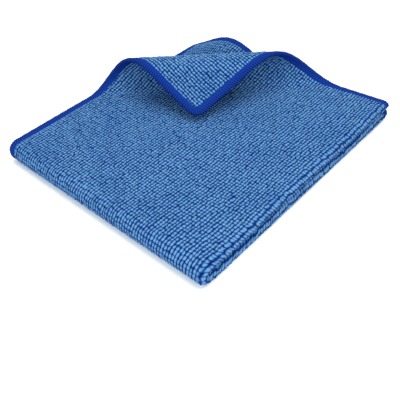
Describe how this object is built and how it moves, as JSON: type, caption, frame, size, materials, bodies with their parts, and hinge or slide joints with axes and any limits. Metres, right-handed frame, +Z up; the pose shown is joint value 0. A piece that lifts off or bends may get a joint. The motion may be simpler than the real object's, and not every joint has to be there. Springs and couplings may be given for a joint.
{
  "type": "microfiber cloth",
  "caption": "Terry microfiber cleaning cloth folded in quarters, top corner turned back, with an overlocked edge all round.",
  "frame": {"origin": "middle of the folded packet's underside, on the surface that it rests on", "axes": "+Z up out of the packet, +X along its long side towards the open hems, +Y along its short side towards the other open hems"},
  "size_m": [0.2013, 0.1755, 0.0448],
  "materials": {
    "cloth": "soft looped terry microfiber, dull"
  },
  "bodies": {
    "root": {"cloth": "cloth"}
  },
  "joints": []
}
